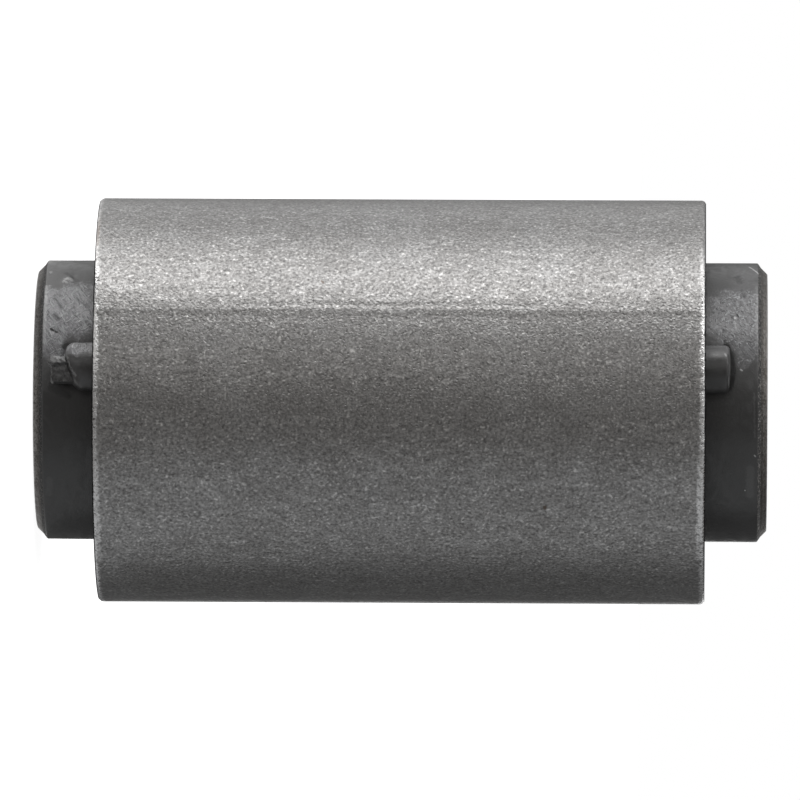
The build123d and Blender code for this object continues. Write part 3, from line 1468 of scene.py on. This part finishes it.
@dataclass(frozen=True)
class ReflectorTent:
    """A round wall with a flat tray and lid, in metres, whose lit panels only gloss can see."""

    inner_edge: float = 0.0182
    radius: float = 0.42
    height: float = 1.6
    lift: float = 0.00002
    lid_hole: float = 0.002
    steps: int = 120
    base_glow: float = 0.26
    apron_glow: float = 0.34
    apron_reach: float = 0.0214
    apron_fade: float = 0.004
    panels: tuple[Panel, ...] = (
        Panel("key", 74.5, 41.0, 4.0, 1.78, 0.008),
        Panel("key_core", 64.2, 15.0, 4.0, 1.60, 0.008),
        Panel("upper", 119.0, 56.0, 6.0, 0.71),
        Panel("strip", 26.0, 28.0, 6.0, 0.44, 0.035),
        Panel("front", -9.0, 42.0, 8.0, 0.015, 0.6),
        Panel("low", -65.0, 68.0, 6.0, 0.26, -0.02),
        Panel("dark", -130.0, 60.0, 8.0, -0.12),
        Panel("back", -173.0, 14.0, 6.0, 2.0),
    )

    def build(self) -> bpy.types.Object:
        """Spins the section of the tray, the wall and the lid.

        Returns:
            The tent, which only gloss can see.
        """
        bm = bmesh.new()
        tray = ((self.inner_edge, self.lift), (self.radius, self.lift))
        lid = ((self.radius, self.height), (self.lid_hole, self.height))
        corners = [bm.verts.new((reach, 0.0, level)) for reach, level in (*tray, *lid)]
        edges = [bm.edges.new(pair) for pair in zip(corners, corners[1:])]
        bmesh.ops.spin(bm, geom=corners + edges, angle=2 * pi, steps=self.steps, use_merge=True, **ABOUT_Z)
        tent = new_object("reflector_tent", bm)
        tent.data.materials.append(self.material())
        hide_from(tent, [ray for ray in Ray if ray is not Ray.GLOSSY])
        return tent

    def material(self) -> bpy.types.Material:
        """Makes the glow of the tent, which changes with the elevation.

        Returns:
            The material.
        """
        material = bpy.data.materials.new("reflector_glow")
        sheet = Sheet.of(material)
        turned = sheet.scaled(sheet.add("TexCoord")["Object"], -1.0)
        parts = sheet.add("SeparateXYZ", {0: turned})
        elevation = sheet.math("DEGREES", sheet.math("ARCTAN2", parts["X"], parts["Y"]))
        distance = sheet.vector("LENGTH", turned)["Value"]
        past_apron = distance.ramp(self.apron_reach, self.apron_reach + self.apron_fade)
        apron = past_apron.fade(self.base_glow + self.apron_glow, self.base_glow)
        total = sheet.add("CombineXYZ", dict.fromkeys("XYZ", apron))
        for panel in self.panels:
            wrapped = sheet.math("WRAP", elevation - panel.elevation, 180.0, -180.0)
            edge, blur = panel.spread / 2, panel.softness / 2
            mask = sheet.math("ABSOLUTE", wrapped).ramp(edge + blur, edge - blur) * past_apron
            light = sheet.add("CombineXYZ", dict(zip("XYZ", grey(panel.glow, panel.warmth))))
            total = sheet.vector("ADD", total, sheet.scaled(light, mask))
        sheet.put_out("Material", sheet.add("Emission", {"Color": total, "Strength": 1.0}))
        return material


@dataclass(frozen=True)
class Studio:
    """A pale floor and a white background, with soft light."""

    floor_size: float = 60.0
    floor_tone: float = 0.75
    floor_glow: float = 0.87
    room_tone: float = 0.5
    lamps: tuple[Softbox, ...] = ()
    tent: ReflectorTent = ReflectorTent()

    def seen_white(self, sheet: Sheet) -> Signal:
        """Marks the rays that show the background: camera, glossy and transmission rays.

        Args:
            sheet: the node tree that asks.

        Returns:
            1 for those rays and 0 for the others.
        """
        rays = sheet.add("LightPath")
        direct = sheet.math("MAXIMUM", rays["Is Camera Ray"], rays["Is Glossy Ray"])
        return sheet.math("MAXIMUM", direct, rays["Is Transmission Ray"])

    def build(self) -> None:
        """Makes the floor, the background, the tent and the lamps."""
        self.build_floor()
        self.build_world()
        self.tent.build()
        for lamp in self.lamps:
            lamp.build()

    def build_floor(self) -> bpy.types.Object:
        """Makes the floor: white where it is seen, plain where it lights the bush.

        Returns:
            The floor.
        """
        bm = bmesh.new()
        bmesh.ops.create_grid(bm, x_segments=2, y_segments=2, size=self.floor_size / 2)
        floor = new_object("floor", bm)
        material = bpy.data.materials.new("pale_floor")
        sheet = Sheet.of(material)
        glow = self.seen_white(sheet) * self.floor_glow
        shine = sheet.add("Emission", {"Color": grey(1.0), "Strength": glow})
        paper = sheet.add("BsdfDiffuse", {"Color": grey(self.floor_tone)})
        sheet.put_out("Material", sheet.add("AddShader", {0: shine, 1: paper}))
        floor.data.materials.append(material)
        return floor

    def build_world(self) -> None:
        """Makes the world: white behind the bush, and a dimmer room as light."""
        world = bpy.data.worlds.new("studio")
        bpy.context.scene.world = world
        sheet = Sheet.of(world)
        level = sheet.add("Mix", {0: self.seen_white(sheet), 2: self.room_tone, 3: 1.0})
        sheet.put_out("World", sheet.add("Background", {"Color": grey(1.0), "Strength": level}))


@dataclass(frozen=True)
class Viewpoint:
    """The camera, which lies on its side so that the bush's axis runs across the picture."""

    distance: float = 1.878
    lens: float = 598.5
    turn: float = -1.19
    roll: float = 0.257
    aim: tuple[float, float, float] = (-0.155, 0.0, 51.03)
    clip_end: float = 100.0

    def build(self) -> bpy.types.Object:
        """Makes the camera and hands it to the scene.

        Returns:
            The camera.
        """
        turn, roll = radians(self.turn), radians(self.roll)
        along = Vector((0.0, -sin(turn), cos(turn)))
        back = Vector((0.0, -cos(turn), -sin(turn)))
        up = Vector((-1.0, 0.0, 0.0))
        axes = (along * cos(roll) + up * sin(roll), up * cos(roll) - along * sin(roll), back)
        data = bpy.data.cameras.new("camera")
        data.lens = self.lens
        data.clip_end = self.clip_end
        camera = stand(data, axes, Vector(self.aim) * MM + back * self.distance)
        bpy.context.scene.camera = camera
        return camera


# ---- The bush


def sleeve_finish() -> BlastedSteel:
    """Lays the scratches, chips and dark specks of this sleeve, with painted highlights and painted shade
    along its rims.

    Returns:
        The blasted steel with them.
    """
    return BlastedSteel(
        bright_marks=(
            *marks(
                SLEEVE,
                (204.9, 31.8, 206.8, 34.1, 0.16, 0.15, 0.8),
                (301.0, 53.1, 300.6, 54.9, 0.10, 0.10, 0.7),
                (300.6, 54.9, 301.6, 56.3, 0.10, 0.10, 0.7),
                (226.0, 33.0, 228.6, 34.2, 0.12, 0.12, 0.6),
            ),
            # painted highlight along the lower rim, with its wear
            *marks(28.1, (243.0, 8.75, 264.0, 8.75, 0.26, 0.3, 0.80, 4)),
            # painted highlights along both rims, with their wear
            *marks(
                SLEEVE,
                (280.0, 9.2, 322.0, 9.5, 0.44, 0.8, 0.95, 5),
                (221.5, 93.6, 234.5, 93.6, 0.42, 0.6, 0.55, 3),
                (280.0, 93.4, 320.0, 93.2, 0.50, 0.8, 1.00, 5),
            ),
        ),
        dark_marks=(
            *marks(
                SLEEVE,
                (301.0, 71.8, 301.4, 71.8, 0.34, 0.2, 0.8),
                (234.2, 40.5, 234.6, 40.7, 0.22, 0.2, 0.7),
            ),
            # painted shade along the rim edges
            *marks(28.40, (207.0, 8.9, 220.0, 8.9, 0.44, 0.15, 0.65, 3)),
            *marks(28.10, (220.0, 8.7, 235.0, 8.7, 0.30, 0.15, 0.55, 3)),
            *marks(28.30, (282.0, 94.0, 318.0, 94.0, 0.36, 0.2, 0.40, 5)),
        ),
    )


def rubber_finish() -> MouldedRubber:
    """Lays the scuffs, scratches and specks of this bush's rubber, with its painted highlights and painted
    shade.

    Returns:
        The rubber's finish with them.
    """
    return MouldedRubber(
        bright_marks=(
            *marks(
                COAT,
                (210.8, 4.4, 211.6, 4.9, 0.56, 0.9, 0.75),
                (212.6, 4.0, 213.2, 4.3, 0.36, 0.7, 0.70),
            ),
            # painted highlights on the torn gate's upper lip and on the ridge where it meets the lower nub
            *marks(24.6, (253.2, 2.3, 257.0, 4.3, 0.46, 0.9, 0.42)),
            Mark(Spot(25.6, 257.0, 5.2), Spot(25.8, 262.5, 6.2), 0.28, 0.8, 0.28),
            *marks(
                COAT,
                (193.9, 100.2, 203.5, 101.6, 0.13, 0.20, 0.9),
                (232.8, 98.2, 233.2, 98.2, 0.22, 0.05, 1.0),
                (234.6, 98.1, 239.0, 98.4, 0.11, 0.45, 0.35),
                (256.4, 99.0, 256.8, 99.2, 0.15, 0.10, 0.7),
                (308.6, 99.7, 308.8, 99.7, 0.13, 0.05, 0.8),
                (292.0, 101.0, 292.4, 101.1, 0.15, 0.08, 0.5),
                (305.0, 2.3, 312.0, 2.1, 0.70, 0.6, 0.05),
                (298.0, 100.4, 311.0, 100.4, 0.80, 0.6, 0.05),
                (220.1, 1.45, 220.5, 1.45, 0.24, 0.05, 1.0),
                (203.8, 1.9, 205.0, 2.0, 0.30, 0.8, 0.40),
                (230.2, 3.4, 237.9, 4.8, 0.16, 0.5, 0.14),
            ),
            # painted highlight on the upper side of the upper nub, which faces the key light
            *marks(
                26.1,
                (254.6, 96.75, 255.4, 96.95, 0.24, 0.3, 0.42),
                (254.8, 95.0, 255.0, 95.7, 0.18, 0.5, 0.24),
            ),
            *marks(26.0, (266.2, 97.0, 266.5, 97.1, 0.20, 0.1, 0.10)),
            # painted highlights along the rounded edges of the coat at both ends
            *marks(
                COAT,
                (216.0, 1.5, 246.0, 1.5, 0.36, 0.4, 0.85, 5),
                (214.0, 101.25, 246.0, 101.25, 0.26, 0.6, 0.26, 5),
                (266.0, 100.9, 284.0, 101.0, 0.16, 0.5, 0.07, 2),
            ),
        ),
        dark_marks=(
            *marks(
                COAT,
                (205.1, 4.1, 212.0, 5.8, 0.42, 1.1, 0.45),
                (213.6, 3.9, 215.0, 4.5, 0.45, 0.9, 0.35),
                (232.6, 2.8, 234.6, 3.5, 0.60, 1.2, 0.34),
                (221.6, 2.8, 228.9, 3.7, 0.26, 0.7, 0.28),
                (206.5, 98.6, 210.5, 98.9, 0.70, 1.2, 0.50),
                (217.0, 99.2, 221.0, 99.5, 0.40, 1.0, 0.45),
            ),
            # painted shade on the tip of the upper nub
            *marks(25.8, (255.5, 97.35, 264.5, 97.3, 0.50, 0.2, 0.8)),
            # painted shade in a pit and in the crevices round the tips of both nubs, and a painted shadow
            # under the torn gate
            *marks(
                COAT,
                (239.9, 2.5, 241.3, 3.3, 0.26, 0.3, 1.0),
                (246.0, 97.0, 254.0, 97.8, 0.60, 0.4, 0.8),
                (254.0, 97.8, 262.5, 97.4, 0.50, 0.4, 0.8),
                (265.0, 2.6, 268.5, 5.0, 0.70, 0.9, 0.6),
                (247.0, 4.85, 254.0, 4.40, 0.30, 0.2, 1.0),
            ),
        ),
        scuffed_zones=(
            *marks(
                COAT,
                (225.0, 1.8, 240.0, 2.6, 3.8, 2.2, 1.0),
                (222.0, 5.6, 236.0, 6.4, 3.6, 2.2, 1.0),
                (236.0, 3.0, 249.0, 2.4, 2.6, 1.6, 0.75),
                (224.0, 99.6, 238.0, 99.8, 3.4, 3.0, 0.36),
                (206.0, 99.6, 217.0, 100.4, 3.0, 1.8, 0.12),
                (224.0, 97.4, 238.0, 96.8, 3.2, 3.0, 0.35),
                (238.0, 98.6, 248.0, 99.8, 2.8, 2.4, 0.23),
            ),
            *marks(25.5, (253.0, 5.4, 253.5, 8.2, 1.9, 1.4, 0.68)),
            *marks(25.8, (260.0, 6.0, 264.0, 8.2, 2.0, 1.4, 0.10)),
            *marks(25.4, (252.8, 94.2, 252.8, 97.0, 1.7, 1.4, 0.08)),
        ),
    )


def coat_dents() -> tuple[Dent, ...]:
    """Lists the lumps and pits in the coat on the inner sleeve.

    Returns:
        The dents, the lumps with a negative depth.
    """
    return (
        Dent(211.2, 4.7, 0.9, 0.5, -0.22),
        Dent(212.4, 4.1, 0.4, 0.30, -0.14),
        Dent(207.8, 5.2, 0.9, 0.4, 0.10),
        Dent(240.6, 2.9, 0.3, 0.4, 0.16),
        Dent(230.0, 3.0, 0.7, 0.4, 0.07),
        Dent(235.0, 5.2, 0.6, 0.5, -0.06),
        Dent(226.0, 98.6, 0.7, 0.4, 0.06),
        Dent(233.0, 98.2, 0.3, 0.3, -0.08),
    )


def rubber_nubs() -> tuple[Nub, ...]:
    """Sizes what stands on the end faces of the rubber.

    Returns:
        The lower nub, the upper nub and the torn gate on the lower one.
    """
    sizes = {"bearing": 258.5, "centre_radius": 23.1, "depth": 6.3, "width": 6.8}
    end = {"slant": 1.0, "slant_start": -0.25, "dome": 1.3, "crevice_gap": 0.8, "crevice_end": -0.4}
    lower = Nub(**sizes, root=14.5, tip=5.1, **end)
    upper = Nub(**sizes, root=88.3, tip=97.4, rounding=0.6, dome=0.5)
    return lower, upper, TornGate(bearing=259.9, centre_radius=23.9, depth=2.6, width=4.0, root=7.5, tip=2.4)


def main() -> None:
    """Builds the bush and its studio."""
    logging.basicConfig(level=logging.INFO, format="%(message)s")
    effects = shared_effects()
    rubber = {"finish": rubber_finish(), "nubs": rubber_nubs(), "dents": coat_dents()}
    pieces = (
        OuterSleeve("bush_outer_sleeve", "outer_sleeve", "blasted_steel", sleeve_finish()),
        InnerSleeve("bush_inner_sleeve", "inner_sleeve", "machined_steel", TurnedSteel()),
        RubberBody("bush_rubber_body", "rubber_body", "moulded_rubber", **rubber),
    )
    for piece in pieces:
        piece.build(effects)
    Studio(lamps=(Softbox("key_softbox", 77.0, 60.0, 0.9, 0.0, 1.4, 1.8),)).build()
    Viewpoint().build()
    bpy.context.scene.view_settings.view_transform = "Standard"
    log.info("sizes written")


if __name__ == "__main__":
    main()
